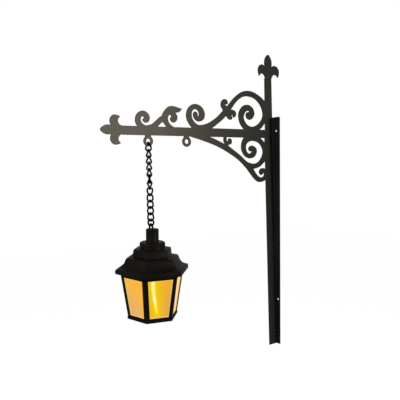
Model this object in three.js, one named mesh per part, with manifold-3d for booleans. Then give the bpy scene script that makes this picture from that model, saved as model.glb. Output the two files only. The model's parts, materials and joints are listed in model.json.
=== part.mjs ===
// A wall lamp: a flat scrollwork bracket cut from sheet steel, a short curb chain, and a small
// six-sided lantern that holds an LED tea light. Millimetres, +Z up. The wall face is the plane x = 0
// and the arm runs out along -X. The origin is the middle of the flange's flat wall face.
import * as THREE from "three";
import { mergeVertices } from "three/addons/utils/BufferGeometryUtils.js";
import Module from "manifold-3d";

const wasm = await Module();
wasm.setup();

// Bracket sheet
const height = 430;
const reach = 277.2;
const scrollReach = 276;
const armHeight = 314.2;
const sheet = 1.5;
const armTipDepth = 11.1;
const armRootDepth = 12.2;
const strapFootWidth = 15.5;
const strapWidth = 16.2;
const strapNeckWidth = 15;
const strapTopWidth = 13.4;
const strapTopSetback = 0.5;
const armFinial = 28.7;
const armFinialRise = 0.4;
const topFinial = 34.6;
const topFinialShift = 0.9;
const innerLeafSpreadShare = 0.88;

// Wall flange, bent from the strap's right edge; the strap runs on above it, straight to the finial
const strapAboveFlange = 56.8;
const flangeHeight = height - topFinial - strapAboveFlange;
const flangeTopWidth = 17.3;
const flangeFootWidth = 8.4;
const bendInside = 0.5;
const flangeCorner = 1.5;
const wallHole = 3.2;
const wallHoleShares = [0.2, 0.94];

// Eyelets under the arm
const chainEyeletOut = 212.7;
const spareEyeletOut = 154.7;
const eyeletDrop = 12.7;
const eyeletAcross = 13.7;
const eyeletHole = 6;
const eyeletNeck = 8.4;

// Chain
const chainWire = 2;
const linkWidth = 8.9;
const linkPitch = 7.97;
const hookLinkExtra = 0.6;
const bailLinkLess = 2;
const contactGap = 0.25;
const hookGap = 0.4;

// Lantern shell; heights are measured down from the top of its neck
const neckAcross = 16.2;
const neckHeight = 16.6;
const neckBore = 13.6;
const neckCap = 3;
const capRadius = 16.2;
const capHeight = 8.1;
const capRound = 1.8;
const tierRadius = 25.7;
const tierHeight = 9.2;
const shoulderRadius = 34.6;
const shoulderDrop = 2;
const eaveRadius = 48.2;
const roofHeight = 54.1;
const eaveLip = 5;
const shellWall = 1.8;
const edgeRound = 0.8;
const cageTopRadius = 42.1;
const cageFootRadius = 32.6;
const cageFoot = 108.8;
const cageWall = 2.4;
const postWidth = 4.4;
const windowTop = 58.5;
const windowFoot = 107.2;
const paneThickness = 1;
const paneLip = 1;
const paneOverlap = 1.4;
const paneGap = 0.2;
const seatGap = 0.3;

// Bail, the bent wire that the lantern hangs by
const bailLegSpacing = 6;
const bailOffset = 2.1;
const bailAside = 0.3;
const bailRise = 5.8;
const bailFoot = 0.6;
const wireHoleClearance = 0.3;

// Base
const baseRadius = 33.2;
const baseThickness = 3.6;
const baseStep = 1.5;
const stepInset = 0.7;
const screwCircle = 26.9;
const screwHead = 4.6;
const screwHeadHeight = 1.4;
const screwShank = 2.4;
const screwLength = 10.4;
const bossHeight = 8;
const bossWall = 1.5;
const recessDepth = 1.8;
const runningGap = 0.3;

// Tea light and its cell
const cellAcross = 20;
const cellThickness = 3.2;
const wellWall = 1.8;
const wellHeight = 4.5;
const doorAcross = 25.4;
const doorFlange = 1.5;
const coinSlot = 15;
const coinSlotWidth = 1.6;
const coinSlotDepth = 0.8;
const boardAcross = 29;
const boardThickness = 1.2;
const contactWidth = 4;
const contactLeaf = 0.4;
const ledAcross = 5;
const ledHeight = 8.6;
const ledFlange = 0.45;
const cupAcross = 37;
const cupHeight = 20.3;
const cupWall = 1.4;
const cupDish = 2.4;
const flameAcross = 11.2;
const flameHeight = 22;
const flameNeck = 8.2;
const flameNeckHeight = 2.6;
const flameWall = 1.1;

// Slide switch in the base
const switchOut = 21.6;
const switchTravel = 4;
const stemAlong = 3;
const stemAcross = 2.2;
const knobAlong = 5.2;
const knobAcross = 4.4;
const knobThickness = 1.3;
const keeperAlong = 6.4;
const keeperAcross = 4.2;
const keeperThickness = 1;

// One overrun serves every cutter
const overrun = 2;

// Angles in degrees
const lanternLean = 3.4;
const lanternRoll = -0.3;
const lanternTurn = 15.6;
const linkTwist = 90;
const switchBearing = 60;
const linkBearings = [-62, -88, -81, -85, -88, -118, -150, -182, -212, -216, -216, -216, -216];

// Facets
const curveSteps = 3;
const roundSides = 28;
const smallSides = 16;
const wireSides = 8;
const linkSteps = 18;
const lensSteps = 4;
const lanternSides = 6;

const radians = THREE.MathUtils.degToRad;
const bendOutside = bendInside + sheet;
const lampPart = new THREE.Group();

// Inside this group the sheet's middle lies at y = 0 and the bracket's foot at z = 0.
const lamp = new THREE.Group();
lamp.position.set(0, -flangeMiddle(1 / 2), -flangeHeight / 2);
lampPart.add(lamp);

// The flange's free edge and the middle of its flat, at a share of its height.
function flangeEdge(share) {
  return sheet / 2 - THREE.MathUtils.lerp(flangeFootWidth, flangeTopWidth, share);
}

function flangeMiddle(share) {
  return (flangeEdge(share) + sheet / 2 - bendOutside) / 2;
}

const powderCoat = { color: 0x4a4742, roughness: 0.55, metalness: 0.25 };
const blackPlastic = { color: 0x191817, roughness: 0.5, metalness: 0 };
const blackWire = { color: 0x1c1b1a, roughness: 0.4, metalness: 0.6 };
const amberPane = { color: 0xf3b02a, roughness: 0.35, metalness: 0 };
const whitePlastic = { color: 0xeee6d2, roughness: 0.6, metalness: 0 };
const plainSteel = { color: 0xb4b4b0, roughness: 0.3, metalness: 0.9 };
const boardGreen = { color: 0x2f5d3a, roughness: 0.6, metalness: 0 };
const clearLens = { color: 0xf7e8c0, roughness: 0.15, metalness: 0 };

// A closed three.js geometry as a solid that can be joined and cut.
function solidOf(geometry) {
  const bare = geometry.clone();
  bare.deleteAttribute("normal");
  bare.deleteAttribute("uv");
  const merged = mergeVertices(bare);
  return new wasm.Manifold(
    new wasm.Mesh({
      numProp: 3,
      vertProperties: new Float32Array(merged.attributes.position.array),
      triVerts: new Uint32Array(merged.index.array),
    }),
  );
}

function geometryOf(solid) {
  const cut = solid.getMesh();
  const geometry = new THREE.BufferGeometry();
  geometry.setAttribute("position", new THREE.BufferAttribute(cut.vertProperties, cut.numProp));
  geometry.setIndex(new THREE.BufferAttribute(cut.triVerts, 1));
  geometry.computeVertexNormals();
  return geometry;
}

function addPiece(name, shape, look, parent = lamp) {
  const geometry = shape.isBufferGeometry ? shape : geometryOf(shape);
  const piece = new THREE.Mesh(geometry, new THREE.MeshStandardMaterial(look));
  piece.name = name;
  parent.add(piece);
  return piece;
}

function joined(solids) {
  return solids.reduce((whole, next) => whole.add(next));
}

function cutFrom(solid, cutters) {
  return cutters.reduce((left, next) => left.subtract(next), solid);
}

// Outlines of the sheet. A row is a kind of edge and then its points, each point a place out along the
// arm and a place above the arm's axis, both as shares of the scrolls' reach.
const leftScrollShares = [
  ["line", [0.815, 0], [0.824, 0.02]],
  ["curve", [0.833, 0.034], [0.834, 0.051], [0.829, 0.069], [0.815, 0.083], [0.797, 0.09],
    [0.778, 0.086], [0.764, 0.074], [0.759, 0.059], [0.764, 0.043], [0.776, 0.036],
    [0.788, 0.038], [0.796, 0.046], [0.794, 0.054], [0.787, 0.058]],
  ["curve", [0.792, 0.063], [0.801, 0.062], [0.806, 0.051], [0.803, 0.039], [0.794, 0.03],
    [0.78, 0.025], [0.762, 0.028], [0.745, 0.034], [0.723, 0.051], [0.709, 0.063], [0.694, 0.072]],
  ["curve", [0.687, 0.086], [0.675, 0.1], [0.662, 0.112], [0.645, 0.118], [0.623, 0.117],
    [0.601, 0.112], [0.582, 0.108]],
  ["curve", [0.592, 0.096], [0.605, 0.089], [0.62, 0.088]],
  ["curve", [0.612, 0.078], [0.609, 0.064], [0.615, 0.05], [0.629, 0.041], [0.643, 0.045],
    [0.65, 0.056], [0.648, 0.064], [0.641, 0.069]],
  ["curve", [0.648, 0.076], [0.657, 0.073], [0.662, 0.061], [0.659, 0.046], [0.647, 0.031],
    [0.628, 0.02]],
  ["line", [0.623, 0]],
];
const leftHoleShares = [
  ["curve", [0.73, 0.012], [0.719, 0.02], [0.704, 0.033], [0.691, 0.043]],
  ["curve", [0.682, 0.034], [0.672, 0.02], [0.667, 0.012]],
];
const mainScrollShares = [
  ["line", [0.518, 0], [0.527, 0.02]],
  ["curve", [0.545, 0.039], [0.556, 0.059], [0.559, 0.083], [0.55, 0.109], [0.53, 0.128],
    [0.504, 0.135], [0.476, 0.128], [0.457, 0.111], [0.449, 0.088], [0.454, 0.067], [0.47, 0.054],
    [0.49, 0.051], [0.507, 0.059], [0.517, 0.072], [0.519, 0.086], [0.513, 0.096], [0.504, 0.099],
    [0.495, 0.094], [0.492, 0.086], [0.493, 0.078]],
  ["line", [0.486, 0.078]],
  ["curve", [0.484, 0.091], [0.491, 0.104], [0.505, 0.109], [0.519, 0.104], [0.527, 0.088],
    [0.525, 0.067], [0.513, 0.05], [0.497, 0.038], [0.477, 0.035], [0.433, 0.045], [0.386, 0.07],
    [0.357, 0.092], [0.335, 0.112]],
  ["curve", [0.346, 0.128], [0.349, 0.144], [0.341, 0.161], [0.325, 0.169], [0.309, 0.164],
    [0.304, 0.152], [0.309, 0.143], [0.32, 0.142]],
  ["line", [0.316, 0.135], [0.306, 0.137]],
  ["curve", [0.291, 0.152], [0.264, 0.178], [0.233, 0.2], [0.204, 0.214], [0.172, 0.22],
    [0.138, 0.217], [0.109, 0.207], [0.079, 0.192], [0.051, 0.171]],
  ["line", [0.029, 0.155], [0.029, 0]],
];
const loopWindowShares = [
  ["curve", [0.425, 0.012], [0.409, 0.02], [0.363, 0.049], [0.334, 0.07], [0.315, 0.086]],
  ["curve", [0.308, 0.075], [0.296, 0.067], [0.283, 0.068], [0.276, 0.075]],
  ["line", [0.281, 0.085], [0.28, 0.094], [0.274, 0.091], [0.273, 0.081], [0.267, 0.078]],
  ["curve", [0.256, 0.085], [0.251, 0.097], [0.257, 0.111], [0.27, 0.117], [0.284, 0.119]],
  ["curve", [0.251, 0.156], [0.214, 0.182], [0.172, 0.191], [0.122, 0.18], [0.085, 0.148],
    [0.069, 0.107], [0.08, 0.073], [0.112, 0.046], [0.149, 0.036], [0.182, 0.048], [0.201, 0.078],
    [0.194, 0.103], [0.176, 0.117], [0.161, 0.113]],
  ["curve", [0.176, 0.109], [0.186, 0.101], [0.184, 0.083], [0.172, 0.073], [0.157, 0.071],
    [0.138, 0.082], [0.127, 0.105], [0.137, 0.131], [0.156, 0.144], [0.175, 0.148], [0.201, 0.143],
    [0.222, 0.125], [0.236, 0.098], [0.233, 0.064], [0.221, 0.041], [0.201, 0.02], [0.192, 0.012]],
];
const upperTriangleShares = [
  ["curve", [0.106, 0.012], [0.096, 0.02], [0.074, 0.036], [0.048, 0.066]],
  ["line", [0.04, 0.066], [0.04, 0.012]],
];
const braceShares = [
  ["line", [0.551, 0], [0.539, -0.022]],
  ["curve", [0.482, -0.036], [0.422, -0.053], [0.362, -0.074], [0.299, -0.104], [0.245, -0.135],
    [0.195, -0.176], [0.164, -0.21], [0.14, -0.235], [0.117, -0.251], [0.095, -0.254],
    [0.074, -0.25], [0.054, -0.242]],
  ["line", [0.029, -0.236], [0.029, 0]],
];
const braceGapShares = [
  ["curve", [0.45, -0.012], [0.426, -0.02], [0.391, -0.031], [0.361, -0.043], [0.328, -0.056]],
  ["curve", [0.336, -0.046], [0.337, -0.033], [0.336, -0.02], [0.336, -0.012]],
];
const lowerWindowShares = [
  ["curve", [0.317, -0.012], [0.317, -0.032], [0.314, -0.04], [0.307, -0.04]],
  ["curve", [0.307, -0.03], [0.298, -0.026], [0.288, -0.03], [0.283, -0.041], [0.288, -0.054],
    [0.299, -0.059], [0.311, -0.061]],
  ["curve", [0.278, -0.082], [0.23, -0.112], [0.191, -0.142], [0.169, -0.151], [0.143, -0.156],
    [0.114, -0.15], [0.089, -0.129], [0.075, -0.098], [0.083, -0.068], [0.107, -0.046],
    [0.144, -0.038], [0.17, -0.043], [0.187, -0.056], [0.191, -0.075], [0.183, -0.096],
    [0.167, -0.104], [0.149, -0.093]],
  ["curve", [0.163, -0.092], [0.173, -0.084], [0.172, -0.072], [0.159, -0.063], [0.138, -0.064],
    [0.12, -0.077], [0.117, -0.096], [0.13, -0.117], [0.15, -0.127], [0.174, -0.128],
    [0.198, -0.118], [0.214, -0.1], [0.223, -0.077], [0.219, -0.046], [0.203, -0.02],
    [0.198, -0.012]],
];
const lowerTriangleShares = [
  ["curve", [0.104, -0.012], [0.092, -0.02], [0.073, -0.034], [0.05, -0.056]],
  ["line", [0.04, -0.056], [0.04, -0.012]],
];
const footWindowShares = [
  ["curve", [0.143, -0.184], [0.116, -0.179], [0.093, -0.17], [0.074, -0.156], [0.05, -0.136]],
  ["line", [0.04, -0.136], [0.04, -0.186], [0.057, -0.186]],
  ["curve", [0.07, -0.181], [0.086, -0.181], [0.099, -0.189], [0.104, -0.201], [0.098, -0.213],
    [0.087, -0.217], [0.078, -0.212], [0.075, -0.204]],
  ["curve", [0.069, -0.21], [0.071, -0.221], [0.081, -0.228], [0.093, -0.229], [0.107, -0.224],
    [0.123, -0.21], [0.143, -0.184]],
];

// A finial in its own frame: places down from its tip and out from its axis, as shares of its length.
const finialStemShare = 0.207;
const finialShares = [
  ["curve", [0, 0], [0.022, 0.052], [0.07, 0.098], [0.145, 0.152], [0.23, 0.19], [0.316, 0.205],
    [0.41, 0.207], [0.494, 0.18]],
  ["curve", [0.451, 0.28], [0.437, 0.395], [0.49, 0.527], [0.599, 0.613], [0.714, 0.629],
    [0.828, 0.605], [0.936, 0.555]],
  ["curve", [0.862, 0.493], [0.822, 0.406], [0.835, 0.311], [0.895, 0.23], [1, 0.18]],
  ["line", [1, 0]],
];

function pathOf(rows, place) {
  const shape = new THREE.Shape();
  const start = place(rows[0][1]);
  shape.moveTo(start.x, start.y);
  rows.forEach(([kind, ...points], row) => {
    const placed = points.slice(row === 0 ? 1 : 0).map(place);
    if (kind === "curve") shape.splineThru(placed);
    else placed.forEach((point) => shape.lineTo(point.x, point.y));
  });
  return shape;
}

const onArm = ([out, up]) => new THREE.Vector2(-scrollReach * out, armHeight + scrollReach * up);

// The flat shape as a plate in the plane of the sheet, as thick as the sheet or as a cutter through it.
function inSheet(shape, extra = 0, curveSegments = curveSteps) {
  const depth = sheet + 2 * extra;
  const plate = new THREE.ExtrudeGeometry(shape, { depth, bevelEnabled: false, curveSegments });
  return solidOf(plate.rotateX(Math.PI / 2).translate(0, depth / 2, 0));
}

function polygon(points) {
  return new THREE.Shape(points.map(([x, y]) => new THREE.Vector2(x, y)));
}

// Both halves of a finial; what stands out past its stem can spread less on its lower or inner side.
function finial(length, innerSpreadShare, place) {
  const half = (hand, spreadShare) => {
    const outline = pathOf(finialShares, ([down, out]) => {
      const leaf = Math.max(0, out - finialStemShare) * spreadShare;
      return place(length * down, hand * length * (Math.min(out, finialStemShare) + leaf));
    });
    return inSheet(outline);
  };
  return half(1, 1).add(half(-1, innerSpreadShare));
}

function eyelet(out) {
  const middle = armHeight - eyeletDrop;
  const ring = new THREE.Shape();
  ring.absarc(-out, middle, eyeletAcross / 2, 0, 2 * Math.PI);
  const neck = polygon([
    [-out - eyeletNeck / 2, middle],
    [-out + eyeletNeck / 2, middle],
    [-out + eyeletNeck / 2, armHeight],
    [-out - eyeletNeck / 2, armHeight],
  ]);
  return [ring, neck].map((shape) => inSheet(shape, 0, roundSides / 2));
}

function eyeletCutter(out) {
  const through = sheet + 2 * overrun;
  const drill = new THREE.CylinderGeometry(eyeletHole / 2, eyeletHole / 2, through, roundSides);
  return solidOf(drill.translate(-out, 0, armHeight - eyeletDrop));
}

// The wall flange: the strap's edge turned toward the viewer on a bend, and tapering downward.
function wallFlange() {
  const front = -sheet / 2 - bendInside;
  const section = new THREE.Shape();
  section.moveTo(-bendOutside - overrun, sheet / 2);
  section.lineTo(-bendOutside, sheet / 2);
  section.absarc(-bendOutside, front, bendOutside, Math.PI / 2, 0, true);
  section.lineTo(0, sheet / 2 - flangeTopWidth);
  section.lineTo(-sheet, sheet / 2 - flangeTopWidth);
  section.lineTo(-sheet, front);
  section.absarc(-bendOutside, front, bendInside, 0, Math.PI / 2, false);
  section.lineTo(-bendOutside - overrun, -sheet / 2);
  const run = { depth: flangeHeight, bevelEnabled: false, curveSegments: curveSteps };
  const bar = solidOf(new THREE.ExtrudeGeometry(section, run));
  const taper = new THREE.Shape();
  taper.moveTo(sheet + overrun, 0);
  taper.lineTo(flangeEdge(0), 0);
  taper.lineTo(flangeEdge(1 - flangeCorner / flangeHeight), flangeHeight - flangeCorner);
  taper.lineTo(flangeEdge(1) + flangeCorner, flangeHeight);
  taper.lineTo(sheet + overrun, flangeHeight);
  const trim = alongX(taper, -strapWidth, 2 * strapWidth);
  const holeAt = (share) => {
    const through = 2 * (sheet + overrun);
    const drill = new THREE.CylinderGeometry(wallHole / 2, wallHole / 2, through, smallSides);
    return solidOf(drill.rotateZ(Math.PI / 2).translate(0, flangeMiddle(share), share * flangeHeight));
  };
  return cutFrom(bar.intersect(solidOf(trim)), wallHoleShares.map(holeAt));
}

// A flat shape drawn in Y and Z, extruded along X.
function alongX(shape, start, depth) {
  const basis = new THREE.Matrix4().makeBasis(
    new THREE.Vector3(0, 1, 0),
    new THREE.Vector3(0, 0, 1),
    new THREE.Vector3(1, 0, 0),
  );
  const prism = new THREE.ExtrudeGeometry(shape, { depth, bevelEnabled: false, curveSegments: curveSteps });
  return prism.applyMatrix4(basis).translate(start, 0, 0);
}

function bracketPlate() {
  const strapAxis = -strapTopSetback - strapTopWidth / 2;
  const strapTop = height - topFinial;
  const strap = polygon([
    [strapAxis - strapTopWidth / 2, strapTop],
    [-strapNeckWidth, armHeight],
    [-strapWidth, armHeight],
    [-strapFootWidth, 0],
    [-bendOutside, 0],
    [-bendOutside, flangeHeight],
    [-strapTopSetback, flangeHeight],
    [strapAxis + strapTopWidth / 2, strapTop],
  ]);
  const armTip = armFinial - reach;
  const finialAxis = armHeight + armFinialRise;
  const topAxis = strapAxis + topFinialShift;
  const arm = polygon([
    [armTip, armHeight - armTipDepth / 2],
    [-strapWidth / 2, armHeight - armRootDepth / 2],
    [-strapWidth / 2, armHeight + armRootDepth / 2],
    [armTip, armHeight + armTipDepth / 2],
  ]);
  const scrollRows = [leftScrollShares, mainScrollShares, braceShares];
  const scrolls = scrollRows.map((rows) => inSheet(pathOf(rows, onArm)));
  const windows = [
    leftHoleShares,
    loopWindowShares,
    upperTriangleShares,
    braceGapShares,
    lowerWindowShares,
    lowerTriangleShares,
    footWindowShares,
  ].map((rows) => inSheet(pathOf(rows, onArm), overrun));
  const eyelets = [chainEyeletOut, spareEyeletOut];
  const whole = joined([
    cutFrom(joined(scrolls), windows),
    inSheet(strap),
    inSheet(arm),
    finial(armFinial, 1, (down, out) => new THREE.Vector2(down - reach, finialAxis + out)),
    finial(topFinial, innerLeafSpreadShare, (down, out) => new THREE.Vector2(topAxis + out, height - down)),
    ...eyelets.flatMap(eyelet),
    wallFlange(),
  ]);
  return cutFrom(whole, eyelets.map(eyeletCutter));
}

addPiece("bracket_plate", bracketPlate(), powderCoat);

// The centre line of a curb link: an oval whose ends are twisted half a twist each way.
class LinkLine extends THREE.Curve {
  constructor(half) {
    super();
    this.half = half;
  }

  getPoint(share) {
    const endRadius = (linkWidth - chainWire) / 2;
    const half = this.half;
    const straight = 2 * (half - endRadius);
    const arc = Math.PI * endRadius;
    const length = 2 * (straight + arc);
    const along = ((share % 1) + 1) % 1 * length;
    const side = along < length / 2 ? 1 : -1;
    const run = along % (length / 2);
    const turned = Math.max(0, run - straight) / endRadius;
    const x = side * endRadius * Math.cos(turned);
    const z = side * (Math.min(run, straight) - straight / 2 + endRadius * Math.sin(turned));
    const twist = (-radians(linkTwist) / 2) * (z / half);
    return new THREE.Vector3(x * Math.cos(twist), x * Math.sin(twist), z);
  }
}

function linkHalf() {
  return (linkPitch + contactGap + chainWire) / 2;
}

const firstLinkTop = armHeight - eyeletDrop - eyeletHole / 2 + hookGap + chainWire / 2;
const firstLinkMiddle = firstLinkTop - linkHalf() - hookLinkExtra;
const lastLink = linkBearings.length - 1;
linkBearings.forEach((bearing, index) => {
  const longer = index === 0 ? hookLinkExtra / 2 : 0;
  const shorter = index === lastLink ? bailLinkLess / 2 : 0;
  const line = new LinkLine(linkHalf() + longer - shorter);
  const link = new THREE.TubeGeometry(line, linkSteps, chainWire / 2, wireSides, true);
  const name = "chain_link_" + String(index + 1).padStart(2, "0");
  const piece = addPiece(name, geometryOf(solidOf(link)), blackWire);
  piece.position.set(-chainEyeletOut, 0, firstLinkMiddle + longer + shorter - index * linkPitch);
  piece.rotation.z = radians(bearing);
});

// The lantern hangs from its bail, leaning a little because the bail is set off its middle.
const lastLinkFoot = firstLinkMiddle - lastLink * linkPitch - linkHalf() + bailLinkLess;
const bailBearing = linkBearings[lastLink] + linkTwist / 2 + linkTwist;
const hanging = new THREE.Group();
hanging.position.set(-chainEyeletOut, 0, lastLinkFoot + chainWire + contactGap);
hanging.rotation.set(radians(lanternLean), radians(lanternRoll), 0);
lamp.add(hanging);

const bailFrame = new THREE.Group();
bailFrame.rotation.z = radians(bailBearing);
hanging.add(bailFrame);

const lantern = new THREE.Group();
lantern.position.set(bailOffset, bailAside, -bailRise);
bailFrame.add(lantern);

const shell = new THREE.Group();
shell.rotation.z = radians(lanternTurn - bailBearing);
lantern.add(shell);

// A profile of radius and height turned about the vertical axis; six sides give the lantern's hexagon.
function turned(profile, sides) {
  const points = profile.map(([radius, z]) => new THREE.Vector2(radius, z));
  return solidOf(new THREE.LatheGeometry(points, sides).rotateX(Math.PI / 2));
}

function rod(radius, bottom, top, sides = smallSides) {
  return turned([[0, bottom], [radius, bottom], [radius, top], [0, top]], sides);
}

function block(along, across, tall) {
  return new THREE.BoxGeometry(along, across, tall);
}

// How far a cubic curve's handles reach, as a share of the radius, to draw a quarter of a circle.
const quarterTurnShare = 0.5523;

// The bail: a hairpin of wire over the last link, through the neck's cap, with its feet turned under it.
function bailWire() {
  const half = bailLegSpacing / 2;
  const foot = -bailRise - neckCap - chainWire / 2 - wireHoleClearance;
  const corner = chainWire;
  const path = new THREE.CurvePath();
  const leg = (side) => {
    const toe = new THREE.Vector3(side * half + corner + bailFoot, 0, foot);
    const heel = new THREE.Vector3(side * half + corner, 0, foot);
    const bend = new THREE.Vector3(side * half, 0, foot);
    const ankle = new THREE.Vector3(side * half, 0, foot + corner);
    const knee = new THREE.Vector3(side * half, 0, -half);
    return [toe, heel, bend, ankle, knee];
  };
  const [toeA, heelA, bendA, ankleA, kneeA] = leg(-1);
  const [toeB, heelB, bendB, ankleB, kneeB] = leg(1);
  const crown = quarterTurnShare * half;
  const top = new THREE.Vector3(0, 0, 0);
  path.add(new THREE.LineCurve3(toeA, heelA));
  path.add(new THREE.QuadraticBezierCurve3(heelA, bendA, ankleA));
  path.add(new THREE.LineCurve3(ankleA, kneeA));
  path.add(new THREE.CubicBezierCurve3(
    kneeA, kneeA.clone().setZ(crown - half), new THREE.Vector3(-crown, 0, 0), top,
  ));
  path.add(new THREE.CubicBezierCurve3(
    top, new THREE.Vector3(crown, 0, 0), kneeB.clone().setZ(crown - half), kneeB,
  ));
  path.add(new THREE.LineCurve3(kneeB, ankleB));
  path.add(new THREE.QuadraticBezierCurve3(ankleB, bendB, heelB));
  path.add(new THREE.LineCurve3(heelB, toeB));
  const wire = new THREE.Shape();
  wire.absarc(0, 0, chainWire / 2, 0, 2 * Math.PI);
  const section = { curveSegments: wireSides / 2, steps: 2 * linkSteps };
  return new THREE.ExtrudeGeometry(wire, { ...section, extrudePath: path });
}

addPiece("lantern_bail", geometryOf(solidOf(bailWire())), blackWire, bailFrame);

// The eave's flare from the shoulder: shares of the way out and of the way down.
const flareShares = [
  [0.05, 0.12], [0.1, 0.27], [0.17, 0.42], [0.25, 0.56], [0.35, 0.68], [0.47, 0.78], [0.62, 0.85],
  [0.8, 0.91], [0.95, 0.95],
];

// Roof: neck, round cap, hexagonal tier and a flared eave, moulded in one as a thin shell.
function roofShell() {
  const capTop = -neckHeight;
  const tierTop = capTop - capHeight;
  const tierFoot = tierTop - tierHeight;
  const shoulder = tierFoot - shoulderDrop;
  const foot = -roofHeight;
  const lipTop = foot + eaveLip;
  const flareOut = eaveRadius - shoulderRadius;
  const flareDown = shoulder - lipTop;
  const seat = -cageTop() + seatGap;
  const hexagon = turned([
    [0, tierTop],
    [tierRadius - 2 * edgeRound, tierTop],
    [tierRadius - edgeRound, tierTop - edgeRound],
    [tierRadius, tierFoot],
    [shoulderRadius - edgeRound, shoulder + edgeRound],
    ...flareShares.map(([out, down]) => [shoulderRadius + out * flareOut, shoulder - down * flareDown]),
    [eaveRadius, lipTop - edgeRound],
    [eaveRadius, foot],
    [eaveRadius - shellWall, foot],
    [eaveRadius - shellWall, lipTop - shellWall],
    [cageTopRadius + shellWall, seat],
    [cageTopRadius - 2 * shellWall, seat],
    [shoulderRadius + shellWall, shoulder - 5 * shellWall],
    [shoulderRadius - shellWall, shoulder - shellWall],
    [tierRadius - shellWall, tierFoot - shellWall],
    [tierRadius - 2 * shellWall, tierTop - shellWall],
    [0, tierTop - shellWall],
  ].reverse(), lanternSides);
  const softened = capRound * (1 - Math.SQRT1_2);
  const neck = turned([
    [0, 0],
    [neckAcross / 2 - edgeRound, 0],
    [neckAcross / 2, -edgeRound],
    [neckAcross / 2, capTop],
    [capRadius - capRound, capTop],
    [capRadius - softened, capTop - softened],
    [capRadius, capTop - capRound],
    [capRadius, tierTop - shellWall / 2],
    [0, tierTop - shellWall / 2],
  ].reverse(), roundSides);
  const bore = rod(neckBore / 2, capTop - shellWall - overrun, -neckCap, roundSides);
  const hollowFoot = tierTop - shellWall - overrun;
  const capHollow = rod(capRadius - shellWall, hollowFoot, capTop - shellWall, roundSides);
  const hole = (side) => {
    const drill = rod(chainWire / 2 + wireHoleClearance, -neckCap - overrun, overrun);
    return drill.translate([side * bailLegSpacing / 2 - bailOffset, -bailAside, 0]);
  };
  const holes = hole(1).add(hole(-1)).rotate([0, 0, bailBearing - lanternTurn]);
  return cutFrom(hexagon.add(neck), [bore, capHollow, holes]);
}

function cageTop() {
  return roofHeight - eaveLip + 2 * seatGap;
}

// The cage's outer vertex radius at a depth below the neck's top.
function cageRadius(depth) {
  const share = (depth - cageTop()) / (cageFoot - cageTop());
  return THREE.MathUtils.lerp(cageTopRadius, cageFootRadius, share);
}

const faceCos = Math.cos(Math.PI / lanternSides);
const faceTilt = Math.atan((cageTopRadius - cageFootRadius) * faceCos / (cageFoot - cageTop()));

// The frame of one face: x out of the face, y across it, z up along it, with its top edge at z = 0.
function faceMatrix(index) {
  const turn = new THREE.Matrix4().makeRotationZ(index * 2 * Math.PI / lanternSides);
  const shift = new THREE.Matrix4().makeTranslation(cageTopRadius * faceCos, 0, -cageTop());
  const tilt = new THREE.Matrix4().makeRotationY(faceTilt);
  return turn.multiply(shift).multiply(tilt);
}

// A window of the face, made larger on every side by the given margin.
function windowShape(margin) {
  const slope = 1 / Math.cos(faceTilt);
  const corner = (depth, grow, side) => [
    side * (cageRadius(depth) / 2 - postWidth + margin),
    (cageTop() - depth) * slope + grow,
  ];
  return polygon([
    corner(windowTop, margin, -1),
    corner(windowFoot, -margin, -1),
    corner(windowFoot, -margin, 1),
    corner(windowTop, margin, 1),
  ]);
}

function cornerPlace(radius, corner) {
  const angle = (2 * corner + 1) * Math.PI / lanternSides;
  return [radius * Math.cos(angle), radius * Math.sin(angle), 0];
}

const screwCorners = [0, 2, 4];

// One copy of a solid at each screw.
function atScrews(solid) {
  return screwCorners.map((corner) => solid.translate(cornerPlace(screwCircle, corner)));
}

const baseTop = -cageFoot - seatGap + baseStep;

function lanternCage() {
  const inside = cageWall / faceCos;
  const wall = turned([
    [cageTopRadius - inside, -cageTop()],
    [cageFootRadius - inside, -cageFoot],
    [cageFootRadius, -cageFoot],
    [cageTopRadius, -cageTop()],
    [cageTopRadius - inside, -cageTop()],
  ], lanternSides);
  const bossFoot = baseTop + seatGap;
  const bossRadius = screwShank / 2 + bossWall + runningGap;
  const bosses = atScrews(rod(bossRadius, bossFoot, bossFoot + bossHeight));
  const pilotTop = bossFoot + bossHeight - bossWall;
  const pilots = atScrews(rod(screwShank / 2 + runningGap, bossFoot - overrun, pilotTop));
  const openings = [];
  for (let face = 0; face < lanternSides; face += 1) {
    const through = alongX(windowShape(0), -cageWall - overrun, cageWall + 2 * overrun);
    const rebate = alongX(windowShape(paneOverlap), -cageWall - overrun, cageWall + overrun - paneLip);
    openings.push(solidOf(through.applyMatrix4(faceMatrix(face))));
    openings.push(solidOf(rebate.applyMatrix4(faceMatrix(face))));
  }
  return cutFrom(joined([wall, ...bosses]), [...pilots, ...openings]);
}

addPiece("lantern_roof", roofShell(), blackPlastic, shell);
addPiece("lantern_cage", lanternCage(), blackPlastic, shell);
for (let face = 0; face < lanternSides; face += 1) {
  const outline = windowShape(paneOverlap - paneGap);
  const pane = alongX(outline, -paneLip - paneGap - paneThickness, paneThickness);
  const piece = addPiece("pane_" + (face + 1), pane, amberPane, shell);
  piece.applyMatrix4(faceMatrix(face));
}

// Base: the hexagonal plate that closes the lantern, with the cell's well on top of it.
const baseFoot = -cageFoot - seatGap - baseThickness;
const doorHole = cellAcross / 2 + 4 * runningGap;
const wellRadius = cellAcross / 2 + 2 * runningGap;

function atSwitch(geometry, z) {
  return geometry.translate(switchOut, 0, z).rotateZ(radians(switchBearing));
}

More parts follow.
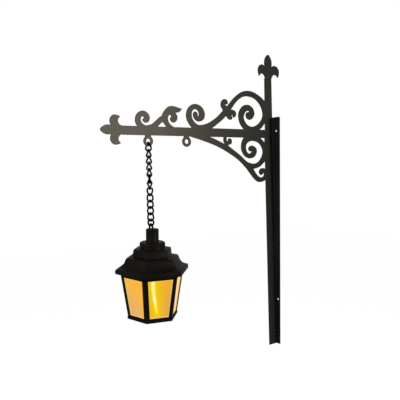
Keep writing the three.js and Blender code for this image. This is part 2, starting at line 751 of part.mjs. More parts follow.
function basePlate() {
  const stepRadius = cageFootRadius - cageWall / faceCos - stepInset;
  const slab = turned([
    [0, baseFoot],
    [baseRadius - edgeRound, baseFoot],
    [baseRadius, baseFoot + edgeRound],
    [baseRadius, baseFoot + baseThickness],
    [stepRadius, baseFoot + baseThickness],
    [stepRadius, baseTop],
    [0, baseTop],
  ], lanternSides);
  const well = rod(wellRadius + wellWall, baseTop - baseStep / 2, baseTop + wellHeight, roundSides);
  const slotAlong = stemAlong + switchTravel + 2 * runningGap;
  const recessAlong = knobAlong + switchTravel + 2 * runningGap;
  const through = baseThickness + baseStep + 2 * overrun;
  const leafSlot = block(2 * wellWall, contactWidth + 2 * runningGap, wellHeight);
  const stemSlot = block(stemAcross + 2 * runningGap, slotAlong, through);
  const knobRecess = block(knobAcross + 2 * runningGap, recessAlong, 2 * recessDepth);
  return cutFrom(slab.add(well), [
    rod(wellRadius, baseTop - overrun / 2, baseTop + wellHeight + overrun, roundSides),
    rod(doorHole, baseFoot - overrun, baseTop - runningGap / 2, roundSides),
    rod(doorAcross / 2 + runningGap, baseFoot - overrun, baseFoot + recessDepth, roundSides),
    solidOf(leafSlot.translate(-wellRadius, 0, baseTop + wellHeight / 2 + runningGap)),
    solidOf(atSwitch(stemSlot, baseFoot + through / 2 - overrun)),
    solidOf(atSwitch(knobRecess, baseFoot)),
    ...atScrews(rod(screwHead / 2 + runningGap, baseFoot - overrun, baseFoot + recessDepth)),
    ...atScrews(rod(screwShank / 2 + runningGap, baseFoot - overrun, baseTop + overrun)),
  ]);
}

addPiece("base_plate", basePlate(), blackPlastic, shell);

// Pan-head self-tapping screws, from below into the cage's corner bosses.
screwCorners.forEach((corner, index) => {
  const headTop = baseFoot + recessDepth - runningGap;
  const headFoot = headTop - screwHeadHeight;
  const head = screwHead / 2;
  const shank = screwShank / 2;
  const screw = turned([
    [0, headFoot],
    [head - edgeRound / 2, headFoot],
    [head, headFoot + edgeRound],
    [head, headTop],
    [shank, headTop],
    [shank, headTop + screwLength - screwShank],
    [0, headTop + screwLength],
  ], smallSides);
  const placed = screw.translate(cornerPlace(screwCircle, corner));
  addPiece("base_screw_" + (index + 1), placed, plainSteel, shell);
});

// Battery door: a round plug turned with a coin from below.
const doorTop = baseTop - 2 * runningGap;
const doorFlangeTop = baseFoot + recessDepth - runningGap;
function batteryDoor() {
  const flange = rod(doorAcross / 2, doorFlangeTop - doorFlange, doorFlangeTop, roundSides);
  const plug = rod(doorHole - runningGap, doorFlangeTop - doorFlange / 2, doorTop, roundSides);
  const slot = block(coinSlot, coinSlotWidth, 2 * coinSlotDepth);
  return cutFrom(flange.add(plug), [solidOf(slot.translate(0, 0, doorFlangeTop - doorFlange))]);
}

addPiece("battery_door", batteryDoor(), blackPlastic, shell);

const cellFoot = doorTop + runningGap;
const cellTop = cellFoot + cellThickness;
const cellRound = turned([
  [0, cellFoot],
  [cellAcross / 2 - edgeRound, cellFoot],
  [cellAcross / 2 - edgeRound, cellFoot + contactLeaf],
  [cellAcross / 2, cellFoot + contactLeaf],
  [cellAcross / 2, cellTop - contactLeaf],
  [cellAcross / 2 - contactLeaf, cellTop],
  [0, cellTop],
], roundSides);
addPiece("coin_cell", cellRound, plainSteel, shell);

const boardFoot = baseTop + wellHeight + runningGap;
const boardTop = boardFoot + boardThickness;
addPiece("led_board", rod(boardAcross / 2, boardFoot, boardTop, roundSides), boardGreen, shell);

// Upper contact: a bowed leaf between the cell and the board.
const leafReachShare = 0.33;
function bowedLeaf() {
  const foot = cellTop + runningGap / 2;
  const crown = boardFoot - runningGap / 2;
  const rise = crown - foot - contactLeaf;
  const half = cellAcross * leafReachShare;
  const outside = new THREE.Vector2(0, crown + rise);
  const leaf = new THREE.Shape();
  leaf.moveTo(-half, foot);
  leaf.quadraticCurveTo(outside.x, outside.y - contactLeaf, half, foot);
  leaf.lineTo(half, foot + contactLeaf);
  leaf.quadraticCurveTo(outside.x, outside.y, -half, foot + contactLeaf);
  leaf.lineTo(-half, foot);
  return alongX(leaf, -contactWidth / 2, contactWidth);
}

addPiece("cell_contact_top", bowedLeaf(), plainSteel, shell);
const sideLeafHeight = cellThickness + runningGap;
const sideLeafMiddle = boardFoot - runningGap - sideLeafHeight / 2;
const sideLeaf = block(contactLeaf, contactWidth, sideLeafHeight);
sideLeaf.translate(-cellAcross / 2 - runningGap - contactLeaf / 2, 0, sideLeafMiddle);
addPiece("cell_contact_side", sideLeaf, plainSteel, shell);

const ledFoot = boardTop + runningGap;
const lensDome = Array.from({ length: lensSteps }, (unused, step) => {
  const angle = step / lensSteps * Math.PI / 2;
  const radius = ledAcross / 2;
  return [radius * Math.cos(angle), ledFoot + ledHeight - radius + radius * Math.sin(angle)];
});
const ledLens = turned([
  [0, ledFoot],
  [ledAcross / 2 + ledFlange, ledFoot],
  [ledAcross / 2 + ledFlange, ledFoot + 2 * ledFlange],
  [ledAcross / 2, ledFoot + 2 * ledFlange],
  ...lensDome,
  [0, ledFoot + ledHeight],
], smallSides);
addPiece("flicker_led", ledLens, clearLens, shell);

// Tea light cup: open below, with a dished top and a hole for the flame.
const cupFoot = baseTop + runningGap;
const cupTop = cupFoot + cupHeight;
function teaLightCup() {
  const outer = cupAcross / 2;
  const inner = outer - cupWall;
  const hole = flameNeck / 2 + runningGap;
  const dish = cupTop - cupDish;
  return turned([
    [inner, cupFoot],
    [outer, cupFoot],
    [outer, cupTop - cupWall],
    [outer - cupWall / 2, cupTop - cupWall / 2],
    [inner, cupTop],
    [inner - cupWall, cupTop - cupWall / 2],
    [outer / 2, dish],
    [hole, dish],
    [hole, dish - cupWall],
    [outer / 2, dish - cupWall],
    [inner - cupWall, cupTop - 2 * cupWall],
    [inner, cupTop - 3 * cupWall],
    [inner, cupFoot],
  ], roundSides);
}

addPiece("tea_light_cup", teaLightCup(), whitePlastic, shell);

// Flame: a hollow moulded drop whose collar rests on the cup and whose neck passes through it.
function flameDrop() {
  const rest = cupTop - cupDish + runningGap;
  const neck = flameNeck / 2;
  const outShares = [[0.78, 0.05], [0.95, 0.2], [1, 0.33], [0.86, 0.52], [0.58, 0.7], [0.26, 0.87]];
  const inShares = [[0.2, 0.62], [0.62, 0.46], [0.72, 0.32], [0.66, 0.16]];
  const hollowShare = 0.83;
  const wide = flameAcross / 2;
  const place = ([out, up]) => [out * wide, rest + up * flameHeight];
  return turned([
    [neck - flameWall, rest - flameNeckHeight],
    [neck, rest - flameNeckHeight],
    [neck, rest],
    [wide, rest],
    [wide, rest + flameWall / 2],
    ...outShares.map(place),
    [0, rest + flameHeight],
    [0, rest + flameHeight * hollowShare],
    ...inShares.map(place),
    [neck - flameWall, rest + flameWall],
    [neck - flameWall, rest - flameNeckHeight],
  ], smallSides);
}

addPiece("flame_diffuser", flameDrop(), amberPane, shell);

// Slide switch: knob below the base, stem through its slot, keeper above it; it stands at its on end.
function switchSlider() {
  const knobFoot = baseFoot + recessDepth - runningGap - knobThickness;
  const keeperFoot = baseTop + runningGap;
  const keeperTop = keeperFoot + keeperThickness;
  const stemTall = keeperTop - knobFoot;
  const shift = switchTravel / 2;
  return joined([
    block(knobAcross, knobAlong, knobThickness).translate(0, shift, knobFoot + knobThickness / 2),
    block(stemAcross, stemAlong, stemTall).translate(0, shift, knobFoot + stemTall / 2),
    block(keeperAcross, keeperAlong, keeperThickness).translate(0, shift, keeperFoot + keeperThickness / 2),
  ].map((geometry) => solidOf(atSwitch(geometry, 0))));
}

addPiece("switch_slider", switchSlider(), whitePlastic, shell);

export default lampPart;
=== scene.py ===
import json
from math import cos, pi, radians, sin

import bmesh
import bpy
from mathutils import Matrix, Vector

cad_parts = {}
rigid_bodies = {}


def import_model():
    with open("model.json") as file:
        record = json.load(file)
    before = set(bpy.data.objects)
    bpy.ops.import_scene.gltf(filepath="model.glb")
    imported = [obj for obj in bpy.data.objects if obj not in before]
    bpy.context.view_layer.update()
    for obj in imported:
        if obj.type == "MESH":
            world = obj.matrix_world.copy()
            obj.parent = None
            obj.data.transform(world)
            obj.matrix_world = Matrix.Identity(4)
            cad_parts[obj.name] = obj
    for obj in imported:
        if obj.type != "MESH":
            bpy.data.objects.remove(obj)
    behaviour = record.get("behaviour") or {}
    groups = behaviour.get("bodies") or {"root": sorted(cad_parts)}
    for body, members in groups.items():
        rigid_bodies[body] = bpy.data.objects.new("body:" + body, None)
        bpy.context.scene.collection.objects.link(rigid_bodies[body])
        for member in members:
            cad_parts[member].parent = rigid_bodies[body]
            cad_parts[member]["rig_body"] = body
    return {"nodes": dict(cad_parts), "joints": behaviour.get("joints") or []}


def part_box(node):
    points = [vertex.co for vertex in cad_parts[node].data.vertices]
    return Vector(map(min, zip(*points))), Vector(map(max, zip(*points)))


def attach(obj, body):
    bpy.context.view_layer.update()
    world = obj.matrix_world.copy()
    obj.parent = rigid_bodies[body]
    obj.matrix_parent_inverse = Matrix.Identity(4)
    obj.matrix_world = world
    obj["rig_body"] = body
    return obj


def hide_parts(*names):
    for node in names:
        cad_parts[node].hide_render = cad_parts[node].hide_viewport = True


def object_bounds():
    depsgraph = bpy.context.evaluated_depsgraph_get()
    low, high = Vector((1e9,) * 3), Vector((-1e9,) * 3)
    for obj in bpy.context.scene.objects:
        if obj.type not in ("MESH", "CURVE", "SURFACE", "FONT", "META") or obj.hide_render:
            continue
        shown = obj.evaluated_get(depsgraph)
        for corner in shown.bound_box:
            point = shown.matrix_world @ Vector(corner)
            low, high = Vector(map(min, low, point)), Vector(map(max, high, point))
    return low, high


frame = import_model()
cad_low, cad_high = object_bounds()


# Camera: it stands at the photograph's viewing point, to the left of the lamp and a little below the
# arm, looks toward the wall and slightly down, and is rolled a little clockwise as the photograph is.
view_point = Vector((-0.5417, -0.559375, 0.0907))
view_line = Vector((0.58169, 0.81122, -0.052)).normalized()
view_roll = radians(1.652)
lens_mm = 46.8
sensor_mm = 36.0
nearest_seen = 0.01

level_right = view_line.cross(Vector((0, 0, 1))).normalized()
level_up = level_right.cross(view_line)
right = level_right * cos(view_roll) - level_up * sin(view_roll)
up = right.cross(view_line)
camera = bpy.data.objects.new("camera", bpy.data.cameras.new("camera"))
camera.data.lens = lens_mm
camera.data.sensor_width = sensor_mm
camera.data.clip_start = nearest_seen
facing = Matrix((right, up, -view_line)).transposed().to_4x4()
camera.matrix_world = Matrix.Translation(view_point) @ facing
bpy.context.scene.collection.objects.link(camera)
bpy.context.scene.camera = camera
bpy.context.scene.view_settings.view_transform = "Standard"


# Bracket: one sheet of 1.5 mm steel, laser cut to the arm, strap, scrolls and finials, its right edge
# bent to the wall flange, then powder coated. The coat rounds every cut edge by a quarter of a
# millimetre and shows a fine orange peel.
coat_edge = 0.00025
weld_reach = 0.00008
flat_turn = radians(0.6)
edge_turn = radians(28)
smooth_turn = radians(21)
flat_area = 0.0001
plane_digits = 3
coat_gloss = 0.052
coat_roughness = 0.31
coat_dark = (0.0030, 0.0030, 0.0027)
coat_pale = (0.0046, 0.0046, 0.0042)


def eased(node, width, steps=2):
    """The node's own solid as a mesh, its coplanar faces joined and its sharp edges rounded."""
    shape = bmesh.new()
    shape.from_mesh(frame["nodes"][node].data)
    bmesh.ops.remove_doubles(shape, verts=shape.verts, dist=weld_reach)
    bmesh.ops.dissolve_limit(shape, angle_limit=flat_turn, verts=shape.verts, edges=shape.edges)
    edges = [e for e in shape.edges if len(e.link_faces) == 2 and abs(e.calc_face_angle(0)) > edge_turn]
    bmesh.ops.bevel(
        shape, geom=edges, offset=width, offset_type="OFFSET", segments=steps, profile=0.5,
        affect="EDGES", clamp_overlap=False,
    )
    mesh = bpy.data.meshes.new(node)
    shape.to_mesh(mesh)
    shape.free()
    return mesh


def placed(name, mesh, node, material):
    """A piece that stands for a node and rides on the node's body; its large planes are shaded flat."""
    if mesh.has_custom_normals:
        mesh.attributes.remove(mesh.attributes["custom_normal"])
    planes = []
    for polygon in mesh.polygons:
        plane = (*polygon.normal, polygon.normal.dot(polygon.center))
        planes.append(tuple(round(value, plane_digits) for value in plane))
    areas = dict.fromkeys(planes, 0.0)
    for plane, polygon in zip(planes, mesh.polygons):
        areas[plane] += polygon.area
    for plane, polygon in zip(planes, mesh.polygons):
        polygon.use_smooth = areas[plane] < flat_area
    mesh.set_sharp_from_angle(angle=smooth_turn)
    mesh.materials.clear()
    mesh.materials.append(material)
    piece = bpy.data.objects.new(name, mesh)
    bpy.context.scene.collection.objects.link(piece)
    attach(piece, frame["nodes"][node]["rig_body"])
    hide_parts(node)


class Wire:
    """A socket in a node tree: arithmetic on it adds Math nodes, and node() adds any other node."""

    def __init__(self, tree, socket=None):
        self.tree = tree
        self.socket = socket

    def node(self, kind, settings=None, inputs=None, output=0):
        made = self.tree.nodes.new(kind)
        for name, value in (settings or {}).items():
            setattr(made, name, value)
        for name, value in (inputs or {}).items():
            self.put(made.inputs[name], value)
        return Wire(self.tree, made.outputs[output])

    def put(self, socket, value):
        if isinstance(value, Wire):
            self.tree.links.new(value.socket, socket)
        else:
            socket.default_value = value

    def maths(self, operation, *terms, clamp=False):
        settings = {"operation": operation, "use_clamp": clamp}
        return self.node("ShaderNodeMath", settings, dict(enumerate(terms)))

    def __add__(self, other):
        return self.maths("ADD", self, other)

    __radd__ = __add__

    def __sub__(self, other):
        return self.maths("SUBTRACT", self, other)

    def __rsub__(self, other):
        return self.maths("SUBTRACT", other, self)

    def __mul__(self, other):
        return self.maths("MULTIPLY", self, other)

    __rmul__ = __mul__

    def __truediv__(self, other):
        return self.maths("DIVIDE", self, other)

    def __abs__(self):
        return self.maths("ABSOLUTE", self)

    def clamped(self):
        return self.maths("ADD", self, 0.0, clamp=True)

    def bell(self, width):
        """1 where the wire is 0, falling off over the width on both sides."""
        return self.maths("EXPONENT", self * self / (-width * width))

    def climb(self, start, width):
        """0 below the start, rising to 1 over the width."""
        return ((self - start) / width).clamped()

    def colour(self, low, high):
        """Between two colours by this mask; a Mix node takes them in sockets 6 and 7."""
        low, high = (end if isinstance(end, Wire) else (*end, 1.0) for end in (low, high))
        return self.node("ShaderNodeMix", {"data_type": "RGBA"}, {0: self, 6: low, 7: high}, output=2)

    def bump(self, strength, depth):
        inputs = {"Strength": strength, "Distance": depth, "Height": self}
        return self.node("ShaderNodeBump", None, inputs)


def finish(name, **sockets):
    """A new material with these uniform shader values, its first wire, and its shader's sockets."""
    material = bpy.data.materials.new(name)
    material.use_nodes = True
    shader = material.node_tree.nodes["Principled BSDF"]
    for socket, value in sockets.items():
        shader.inputs[socket.replace("_", " ")].default_value = value
    return material, Wire(material.node_tree), shader.inputs


def noise(wire, cells, detail=2.0):
    """Noise that is fixed to the piece, with so many cells to a metre."""
    place = wire.node("ShaderNodeTexCoord", output="Object")
    return wire.node("ShaderNodeTexNoise", None, {"Vector": place, "Scale": cells, "Detail": detail})


def powder_coat():
    material, wire, shader = finish("dark_powder_coat", Specular_IOR_Level=coat_gloss)
    peel = noise(wire, cells=900.0, detail=1.0)
    cloud = noise(wire, cells=14.0, detail=3.0)
    speck = noise(wire, cells=2600.0, detail=0.0)
    wire.put(shader["Base Color"], (cloud * 0.7 + speck * 0.3).colour(coat_dark, coat_pale))
    wire.put(shader["Roughness"], cloud * 0.02 + speck * 0.04 + coat_roughness)
    wire.put(shader["Normal"], peel.bump(strength=0.12, depth=0.0002))
    return material


bracket_finish = powder_coat()
placed("bracket", eased("bracket_plate", coat_edge), "bracket_plate", bracket_finish)


# Chain: thirteen curb links of 2 mm wire, each an oval twisted by a quarter turn and butted shut. The
# whole chain is dipped in black lacquer, which stands 0.16 mm proud of the bare wire.
link_names = sorted(name for name in frame["nodes"] if name.startswith("chain_link_"))
link_bearings = (-62, -88, -81, -85, -88, -118, -150, -182, -212, -216, -216, -216, -216)
wire_radius = 0.001
lacquer = 0.00016
seam_reach = 0.00001
link_across = 0.0089
link_twist = radians(90)
link_points = 56
wire_round = 5
wire_gloss = 0.015
wire_roughness = 0.3
lacquer_dark = (0.0012, 0.0011, 0.0010)
lacquer_worn = (0.0034, 0.0031, 0.0027)


def tube(name, points, closed):
    """The lacquered wire along the points, as a mesh."""
    line = bpy.data.curves.new(name, "CURVE")
    line.dimensions = "3D"
    line.bevel_depth = wire_radius + lacquer
    line.bevel_resolution = wire_round
    line.use_fill_caps = not closed
    spline = line.splines.new("POLY")
    spline.points.add(len(points) - 1)
    for point, place in zip(spline.points, points):
        point.co = (*place, 1.0)
    spline.use_cyclic_u = closed
    source = bpy.data.objects.new(name, line)
    bpy.context.scene.collection.objects.link(source)
    bpy.context.view_layer.update()
    mesh = bpy.data.meshes.new_from_object(source)
    bpy.data.objects.remove(source)
    shape = bmesh.new()
    shape.from_mesh(mesh)
    bmesh.ops.remove_doubles(shape, verts=shape.verts, dist=seam_reach)
    bmesh.ops.recalc_face_normals(shape, faces=shape.faces)
    shape.to_mesh(mesh)
    shape.free()
    return mesh


def link_line(low, high, bearing):
    """The twisted oval through a link's box, with its face turned to the bearing."""
    end = link_across / 2 - wire_radius
    half = (high.z - low.z) / 2 - wire_radius
    straight = 2 * (half - end)
    length = 2 * (straight + pi * end)
    middle = (low + high) / 2
    points = []
    for step in range(link_points):
        along = length * step / link_points
        side = 1 if along < length / 2 else -1
        run = along % (length / 2)
        turned = max(0.0, run - straight) / end
        x = side * end * cos(turned)
        z = side * (min(run, straight) - straight / 2 + end * sin(turned))
        angle = radians(bearing) - link_twist / 2 * z / half
        points.append((middle.x + x * cos(angle), middle.y + x * sin(angle), middle.z + z))
    return points


def black_wire():
    material, wire, shader = finish("blackened_wire", Specular_IOR_Level=wire_gloss)
    wear = noise(wire, cells=320.0, detail=3.0)
    grain = noise(wire, cells=1500.0)
    wire.put(shader["Base Color"], wear.colour(lacquer_dark, lacquer_worn))
    wire.put(shader["Roughness"], wear * 0.2 + wire_roughness)
    wire.put(shader["Normal"], grain.bump(strength=0.15, depth=0.00008))
    return material


wire_finish = black_wire()
for name, bearing in zip(link_names, link_bearings):
    low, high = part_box(name)
    link = tube(name, link_line(low, high, bearing), closed=True)
    placed(name.replace("chain_", ""), link, name, wire_finish)


# Bail: a hairpin of the same wire over the last link, through two holes in the lantern's neck, with
# its feet turned under the cap. The lantern hangs from it, a few degrees out of plumb.
swing = next(joint for joint in frame["joints"] if joint["name"] == "lantern_swing")
lean = radians(3.4)
roll = radians(-0.3)
bail_bearing = radians(-81)
bail_spacing = 0.006
bail_foot = 0.0006
bail_rise = 0.0058
cap_thickness = 0.003
hole_clearance = 0.0003
touch_gap = 0.00025
corner_steps = 8
hairpin_steps = 20
hang = Matrix.Translation(Vector(swing["pos_m"]) + Vector((0, 0, 2 * wire_radius + touch_gap)))
leaning = Matrix.Rotation(lean, 4, "X") @ Matrix.Rotation(roll, 4, "Y")
bail_place = hang @ leaning @ Matrix.Rotation(bail_bearing, 4, "Z")


def arc(centre, radius, start, end, steps):
    """Points of a round bend in the plane of the bail."""
    turns = [start + (end - start) * step / steps for step in range(steps + 1)]
    return [Vector((centre[0] + radius * cos(t), 0, centre[1] + radius * sin(t))) for t in turns]


half = bail_spacing / 2
foot = -bail_rise - cap_thickness - wire_radius - hole_clearance
corner = 2 * wire_radius
bail_line = [Vector((-half + corner + bail_foot, 0, foot))]
bail_line += arc((-half + corner, foot + corner), corner, -pi / 2, -pi, corner_steps)
bail_line += arc((0, -half), half, pi, 0, hairpin_steps)
bail_line += arc((half + corner, foot + corner), corner, pi, 3 * pi / 2, corner_steps)
bail_line += [Vector((half + corner + bail_foot, 0, foot))]
bail = tube("bail", [bail_place @ point for point in bail_line], closed=False)
placed("bail", bail, "lantern_bail", wire_finish)


# Lantern shell: roof, cage, base and battery door are black plastic, injection moulded with a fine
# spark-eroded grain. Every outer edge is eased, as a mould leaves it.
mould_edge = 0.0007
mould_steps = 3
fine_edge = 0.00022
shell_gloss = 0.02
shell_roughness = 0.38
shell_dark = (0.0014, 0.0011, 0.0006)
shell_pale = (0.0024, 0.0019, 0.0011)


def moulded_plastic():
    material, wire, shader = finish("black_moulded_plastic", Specular_IOR_Level=shell_gloss)
    grain = noise(wire, cells=1700.0)
    cloud = noise(wire, cells=30.0, detail=3.0)
    wire.put(shader["Base Color"], cloud.colour(shell_dark, shell_pale))
    wire.put(shader["Roughness"], cloud * 0.14 + grain * 0.08 + shell_roughness)
    wire.put(shader["Normal"], grain.bump(strength=0.3, depth=0.00012))
    return material


shell_finish = moulded_plastic()
placed("roof", eased("lantern_roof", mould_edge, mould_steps), "lantern_roof", shell_finish)
placed("cage", eased("lantern_cage", fine_edge), "lantern_cage", shell_finish)
placed("base", eased("base_plate", fine_edge), "base_plate", shell_finish)
placed("door", eased("battery_door", fine_edge), "battery_door", shell_finish)


# Panes: six trapezoids of amber translucent sheet in the cage's rebates, lit from inside. That light is
# painted into their emission colour: the front one shows the flame as a painted bright slanting streak,
# the others an even painted glow that pales toward the foot, and all pale toward the edges in a painted
# highlight.
pane_edge = 0.00012
pane_roughness = 0.28
pane_base = (0.016, 0.008, 0.001)
# Painted highlight: the pale colour along the panes' edges.
rim_highlight_colour = (0.87, 0.55, 0.15)
# Painted light: the colours of the panes' glow, painted into their emission.
sand_glow = (0.72, 0.41, 0.165)
amber = (0.93, 0.465, 0.03)
rust_glow = (0.66, 0.34, 0.075)
honey_glow = (0.86, 0.41, 0.02)
# Painted light: the colours of the flame's streak in the front pane.
halo_yellow = (0.86, 0.53, 0.0)
beam_yellow = (1.0, 0.92, 0.10)
core_white = (1.0, 1.0, 0.62)
head_share, cloud_share, foot_level = 0.95, 0.2, 0.05
rim_across, rim_width = 0.8429, 0.0714
rim_rise, rim_height = 0.435, 0.025
rim_highlight_strength, halo_strength = 0.8, 1.1
streak_foot, streak_slope = -0.143, -0.411
halo_width, beam_width, core_width = 0.75, 0.13, 0.12
flame_rise, flame_height = 0.5, 0.09
flame_share, tail_share = 0.6, 0.36
lantern_up = leaning.to_3x3() @ Vector((0, 0, 1))
cage_low, cage_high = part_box("lantern_cage")
cage_middle = (cage_low + cage_high) / 2

# For each pane its gloss, its painted glow colours at the foot and the head, how fast they change
# across it, and how strongly it shows the flame's painted streak.
pane_looks = {
    1: (0.02, sand_glow, amber, 0.0, 0.0),
    2: (0.02, sand_glow, amber, 0.2, 0.0),
    3: (0.02, sand_glow, amber, -0.2, 0.0),
    4: (0.02, sand_glow, amber, 0.27, 0.0),
    5: (0.02, rust_glow, honey_glow, -0.3, 1.0),
    6: (0.6, sand_glow, amber, 0.2, 0.0),
}


def pane_mesh(node):
    """The pane with a place attribute: across it from -1 to 1 and up it from 0 to 1."""
    source = frame["nodes"][node].data
    low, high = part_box(node)
    outward = (low + high) / 2 - cage_middle
    across = Vector((-outward.y, outward.x, 0)).normalized()
    heights = [lantern_up.dot(vertex.co) for vertex in source.vertices]
    foot, head = min(heights), max(heights)
    rows = {}
    for vertex, height in zip(source.vertices, heights):
        row = round((height - foot) / (head - foot))
        rows.setdefault(row, []).append(across.dot(vertex.co))
    mesh = eased(node, pane_edge)
    place = mesh.attributes.new("place", "FLOAT_VECTOR", "POINT")
    for vertex, value in zip(mesh.vertices, place.data):
        rise = (lantern_up.dot(vertex.co) - foot) / (head - foot)
        left = min(rows[0]) + (min(rows[1]) - min(rows[0])) * rise
        wide = max(rows[0]) + (max(rows[1]) - max(rows[0])) * rise
        value.vector = (2 * (across.dot(vertex.co) - left) / (wide - left) - 1, rise, 0)
    return mesh


def amber_pane(name, gloss, low, high, slope, flame):
    """Amber sheet whose light is painted into its emission between two colours, with a painted
    highlight along the edges and the flame's painted streak over them.
    """
    material, wire, shader = finish(
        name, Base_Color=(*pane_base, 1.0), Roughness=pane_roughness, Specular_IOR_Level=gloss,
        Emission_Strength=1.0,
    )
    place = wire.node("ShaderNodeAttribute", {"attribute_name": "place"}, output="Vector")
    across, rise = (wire.node("ShaderNodeSeparateXYZ", None, {0: place}, axis) for axis in "XY")
    cloud = noise(wire, cells=55.0)
    ripple = noise(wire, cells=180.0)
    level = (rise * head_share + across * slope + cloud * cloud_share + foot_level).clamped()
    # Painted light: the flame's streak, a halo, a beam and a white core painted along a slanting line.
    line = across - rise * streak_slope - streak_foot
    halo = (line.bell(halo_width) * (halo_strength * flame)).clamped()
    # Painted highlight: the glow pales toward the pane's edges.
    rim_highlight = abs(across).climb(rim_across, rim_width) + abs(rise - 0.5).climb(rim_rise, rim_height)
    beam = line.bell(beam_width) * rise.climb(start=0.05, width=0.25)
    tail = rise.climb(start=0.32, width=0.2)
    tongue = (rise - flame_rise).bell(flame_height) * flame_share + tail * tail_share
    core = line.bell(core_width) * tongue
    glow = halo.colour(level.colour(low, high), halo_yellow)
    glow = (rim_highlight * rim_highlight_strength).clamped().colour(glow, rim_highlight_colour)
    glow = (beam * flame).clamped().colour(glow, beam_yellow)
    glow = (core * flame).clamped().colour(glow, core_white)
    wire.put(shader["Emission Color"], glow)
    wire.put(shader["Normal"], ripple.bump(strength=0.08, depth=0.0002))
    return material


for number, look in pane_looks.items():
    name = "pane_%d" % number
    placed("glass_%d" % number, pane_mesh(name), name, amber_pane("amber_" + name, *look))


# Screws, cell and contacts: three plated pan-head screws that hold the base to the cage from below,
# the steel coin cell behind the door, and the two plated spring leaves that touch it.
steel_roughness = 0.24
steel_dark = (0.42, 0.42, 0.41)
steel_pale = (0.6, 0.6, 0.58)
leaf_edge = 0.00005


def plated_steel():
    material, wire, shader = finish("plated_steel", Metallic=1.0)
    brushed = noise(wire, cells=900.0, detail=3.0)
    wire.put(shader["Base Color"], brushed.colour(steel_dark, steel_pale))
    wire.put(shader["Roughness"], brushed * 0.2 + steel_roughness)
    wire.put(shader["Normal"], brushed.bump(strength=0.1, depth=0.00005))
    return material


steel_finish = plated_steel()
for number in (1, 2, 3):
    name = "base_screw_%d" % number
    placed("screw_%d" % number, eased(name, fine_edge), name, steel_finish)
placed("cell", eased("coin_cell", fine_edge), "coin_cell", steel_finish)
for name in ("cell_contact_top", "cell_contact_side"):
    placed(name.replace("cell_", ""), eased(name, leaf_edge), name, steel_finish)


# Tea light: an ivory cup with a dished top, the LED under a moulded flame that it lights from below,
# and the slider of the switch in the base. All are moulded plastic; the flame and the LED's lens glow,
# the flame's light from the LED painted into its emission colour.
pale_gloss = 0.45
pale_roughness = 0.42
cup_dark, cup_pale = (0.74, 0.64, 0.45), (0.8, 0.7, 0.52)
flame_dark, flame_pale = (1.0, 0.62, 0.22), (1.0, 0.74, 0.32)
lens_dark, lens_pale = (1.0, 0.8, 0.45), (1.0, 0.88, 0.6)
knob_dark, knob_pale = (0.66, 0.62, 0.52), (0.72, 0.68, 0.58)
lens_edge = 0.00011
lit, unlit = 2.0, 0.0


def pale_plastic(name, low, high, glow):
    material, wire, shader = finish(name, Emission_Strength=glow, Specular_IOR_Level=pale_gloss)
    cloud = noise(wire, cells=60.0)
    satin = noise(wire, cells=1200.0)
    wire.put(shader["Base Color"], cloud.colour(low, high))
    wire.put(shader["Emission Color"], cloud.colour(low, high))
    wire.put(shader["Roughness"], cloud * 0.15 + pale_roughness)
    wire.put(shader["Normal"], satin.bump(strength=0.1, depth=0.0001))
    return material


cup_finish = pale_plastic("ivory_plastic", cup_dark, cup_pale, unlit)
# Painted light: the flame's glow is an emission colour, standing in for the LED's light through it.
flame_finish = pale_plastic("flame_plastic", flame_dark, flame_pale, lit)
lens_finish = pale_plastic("led_lens", lens_dark, lens_pale, lit)
knob_finish = pale_plastic("switch_plastic", knob_dark, knob_pale, unlit)
placed("cup", eased("tea_light_cup", fine_edge), "tea_light_cup", cup_finish)
placed("flame", eased("flame_diffuser", fine_edge), "flame_diffuser", flame_finish)
placed("led", eased("flicker_led", lens_edge), "flicker_led", lens_finish)
placed("switch", eased("switch_slider", fine_edge), "switch_slider", knob_finish)


# LED board: a small round board of glass fibre under green lacquer. It rests on the rim of the cell's
# well and carries the LED.
board_gloss = 0.5
board_roughness = 0.25
board_dark = (0.012, 0.07, 0.025)
board_pale = (0.02, 0.11, 0.04)


def board_lacquer():
    material, wire, shader = finish("board_lacquer", Specular_IOR_Level=board_gloss)
    weave = noise(wire, cells=1400.0, detail=1.0)
    wire.put(shader["Base Color"], weave.colour(board_dark, board_pale))
    wire.put(shader["Roughness"], weave * 0.15 + board_roughness)
    wire.put(shader["Normal"], weave.bump(strength=0.1, depth=0.00005))
    return material


placed("board", eased("led_board", fine_edge), "led_board", board_lacquer())


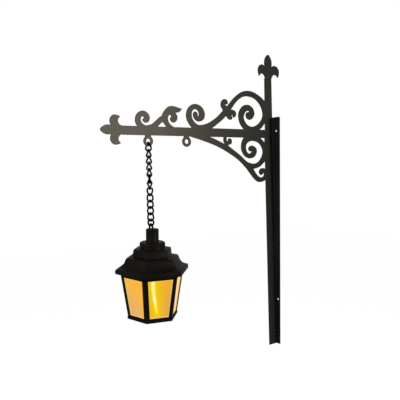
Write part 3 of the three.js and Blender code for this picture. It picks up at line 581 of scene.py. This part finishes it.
# Studio: a pale floor well below the hanging lamp, a white surround, and two soft lamps. The one in
# front and to the right is what the flat sheet mirrors toward its left end.
floor_drop = 0.75
floor_size = 12.0
floor_colour = (0.9, 0.9, 0.89)
floor_roughness = 0.9
floor_glow = 1.04
floor_whiteness = 0.9
white = (1.0, 1.0, 1.0)
warm_white = (1.0, 0.915, 0.72)
room_light = 0.55
front_place, front_aim = (0.45, -1.45, 0.32), (-0.24, 0.0, 0.12)
left_place, left_aim = (-1.6, -0.15, 0.6), (-0.21, 0.0, -0.05)


def seen(wire):
    """1 for the rays that show the surroundings: from the camera, off a gloss, or through a pane."""
    kinds = ("Is Camera Ray", "Is Glossy Ray", "Is Transmission Ray")
    camera_ray, gloss_ray, pane_ray = (wire.node("ShaderNodeLightPath", output=kind) for kind in kinds)
    return (camera_ray + gloss_ray + pane_ray).clamped()


def lamp(name, place, aim, size, power, tint):
    """A square soft lamp that points from its place to its aim."""
    light = bpy.data.objects.new(name, bpy.data.lights.new(name, "AREA"))
    light.data.shape = "SQUARE"
    light.data.size = size
    light.data.energy = power
    light.data.color = tint
    light.location = place
    light.rotation_euler = (Vector(aim) - Vector(place)).to_track_quat("-Z", "Y").to_euler()
    bpy.context.scene.collection.objects.link(light)


world = bpy.data.worlds.new("studio")
world.use_nodes = True
bpy.context.scene.world = world
sky = Wire(world.node_tree)
sky_shade = world.node_tree.nodes["Background"].inputs
sky_shade["Color"].default_value = (*white, 1.0)
sky.put(sky_shade["Strength"], seen(sky) * (1 - room_light) + room_light)

bpy.ops.mesh.primitive_plane_add(size=floor_size, location=(0, 0, cad_low.z - floor_drop))
floor = bpy.context.object
floor.name = "floor"
floor_finish, wire, _ = finish("pale_floor", Base_Color=(*floor_colour, 1.0), Roughness=floor_roughness)
nodes = floor_finish.node_tree.nodes
plain = Wire(wire.tree, nodes["Principled BSDF"].outputs[0])
glow = wire.node("ShaderNodeEmission", None, {"Color": (*white, 1.0), "Strength": floor_glow})
mixed = wire.node("ShaderNodeMixShader", None, {0: seen(wire) * floor_whiteness, 1: plain, 2: glow})
wire.put(nodes["Material Output"].inputs["Surface"], mixed)
floor.data.materials.append(floor_finish)

lamp("front_softbox", front_place, front_aim, size=0.5, power=52.0, tint=warm_white)
lamp("left_softbox", left_place, left_aim, size=0.8, power=44.0, tint=white)
